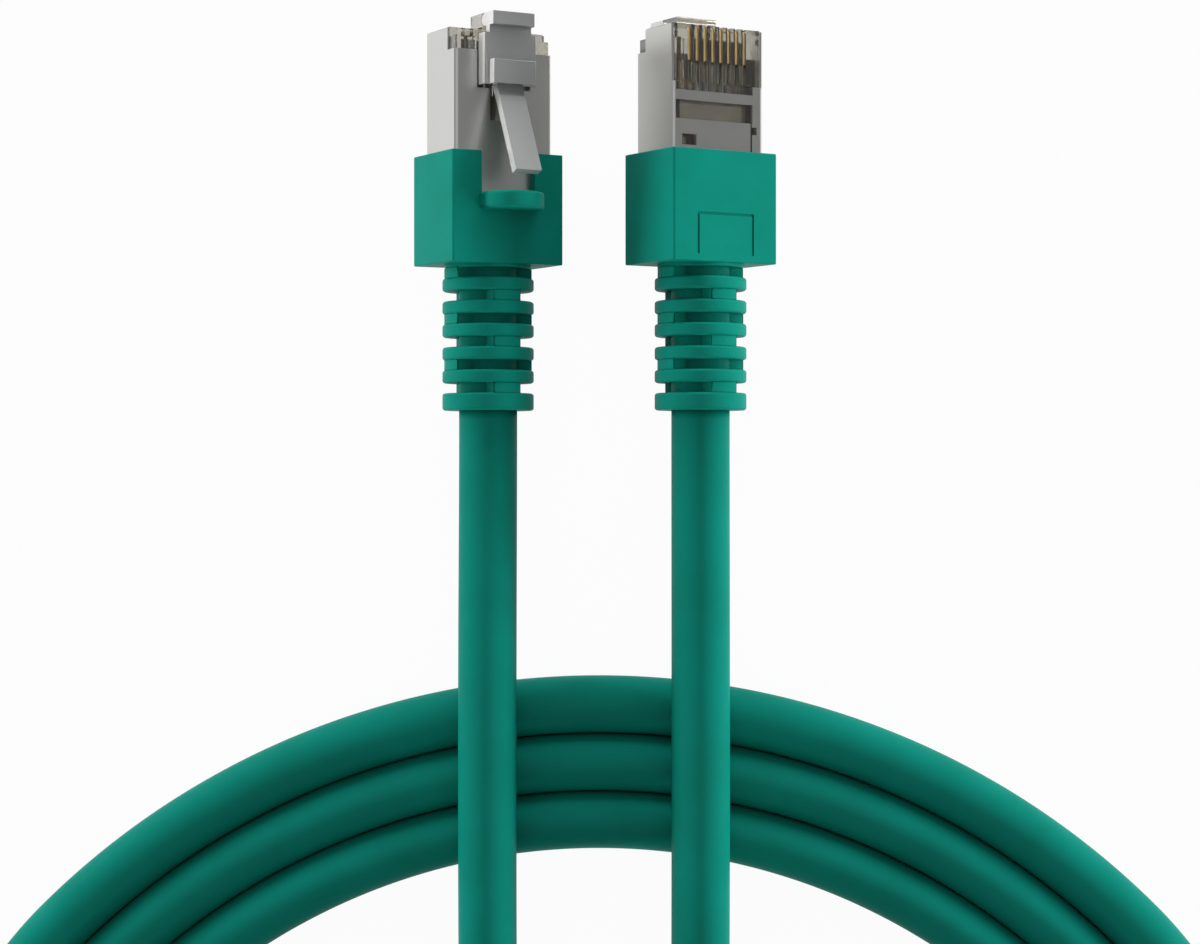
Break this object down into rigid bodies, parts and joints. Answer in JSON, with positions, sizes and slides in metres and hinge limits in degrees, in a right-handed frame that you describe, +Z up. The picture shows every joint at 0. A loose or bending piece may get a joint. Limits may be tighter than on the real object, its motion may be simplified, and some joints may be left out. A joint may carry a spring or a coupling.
{
  "type": "ethernet patch cable",
  "caption": "Shielded patch cable: coiled round cable with a clear modular plug, sprung latch, slotted strain-relief boot and gold contacts at each end.",
  "frame": {"origin": "on the surface that the cable lies on, midway between the two plugs and midway along them", "axes": "+Z up from the surface, +Y towards the noses of the plugs, +X from plug a to plug b"},
  "size_m": [0.1515, 0.1767, 0.0165],
  "materials": {
    "green_pvc": "satin moulded PVC",
    "clear_polycarbonate": "clear moulded",
    "nickel_plated_steel": "bright nickel plate",
    "white_polycarbonate": "moulded",
    "gold_plated_contact": "gold plate",
    "foil": "foil",
    "tinned_braid": "tinned braid",
    "wire_white_orange": "extruded insulation",
    "wire_orange": "extruded insulation",
    "wire_white_green": "extruded insulation",
    "wire_blue": "extruded insulation",
    "wire_white_blue": "extruded insulation",
    "wire_green": "extruded insulation",
    "wire_white_brown": "extruded insulation",
    "wire_brown": "extruded insulation"
  },
  "bodies": {
    "cable": {"boot_a": "green_pvc", "plug_body_a": "clear_polycarbonate", "shield_a": "nickel_plated_steel", "load_bar_a": "white_polycarbonate", "jacket_end_a": "green_pvc", "foil_core_a": "foil", "braid_a": "tinned_braid", "boot_b": "green_pvc", "plug_body_b": "clear_polycarbonate", "shield_b": "nickel_plated_steel", "load_bar_b": "white_polycarbonate", "jacket_end_b": "green_pvc", "foil_core_b": "foil", "braid_b": "tinned_braid", "contact_a1": "gold_plated_contact", "contact_a2": "gold_plated_contact", "contact_a3": "gold_plated_contact", "contact_a4": "gold_plated_contact", "contact_a5": "gold_plated_contact", "contact_a6": "gold_plated_contact", "contact_a7": "gold_plated_contact", "contact_a8": "gold_plated_contact", "contact_b1": "gold_plated_contact", "contact_b2": "gold_plated_contact", "contact_b3": "gold_plated_contact", "contact_b4": "gold_plated_contact", "contact_b5": "gold_plated_contact", "contact_b6": "gold_plated_contact", "contact_b7": "gold_plated_contact", "contact_b8": "gold_plated_contact", "wire_a1": "wire_white_orange", "wire_a2": "wire_orange", "wire_a3": "wire_white_green", "wire_a4": "wire_blue", "wire_a5": "wire_white_blue", "wire_a6": "wire_green", "wire_a7": "wire_white_brown", "wire_a8": "wire_brown", "wire_b1": "wire_white_orange", "wire_b2": "wire_orange", "wire_b3": "wire_white_green", "wire_b4": "wire_blue", "wire_b5": "wire_white_blue", "wire_b6": "wire_green", "wire_b7": "wire_white_brown", "wire_b8": "wire_brown", "cable_end_a": "green_pvc", "cable_coil": "green_pvc", "cable_end_b": "green_pvc"},
    "latch_a": {"latch_a": "clear_polycarbonate"},
    "latch_b": {"latch_b": "clear_polycarbonate"}
  },
  "joints": [
    {"name": "latch_a_press", "type": "hinge", "parent": "cable", "child": "latch_a", "pos_m": [-0.00954, 0.02048, 0.01089], "axis": [0.8707, 0, -0.4918], "range_deg": [0, 9], "stiffness_Nm_per_rad": 0.02},
    {"name": "latch_b_press", "type": "hinge", "parent": "cable", "child": "latch_b", "pos_m": [0.00937, 0.02048, 0.00553], "axis": [-0.8492, 0, 0.5281], "range_deg": [0, 9], "stiffness_Nm_per_rad": 0.02}
  ]
}
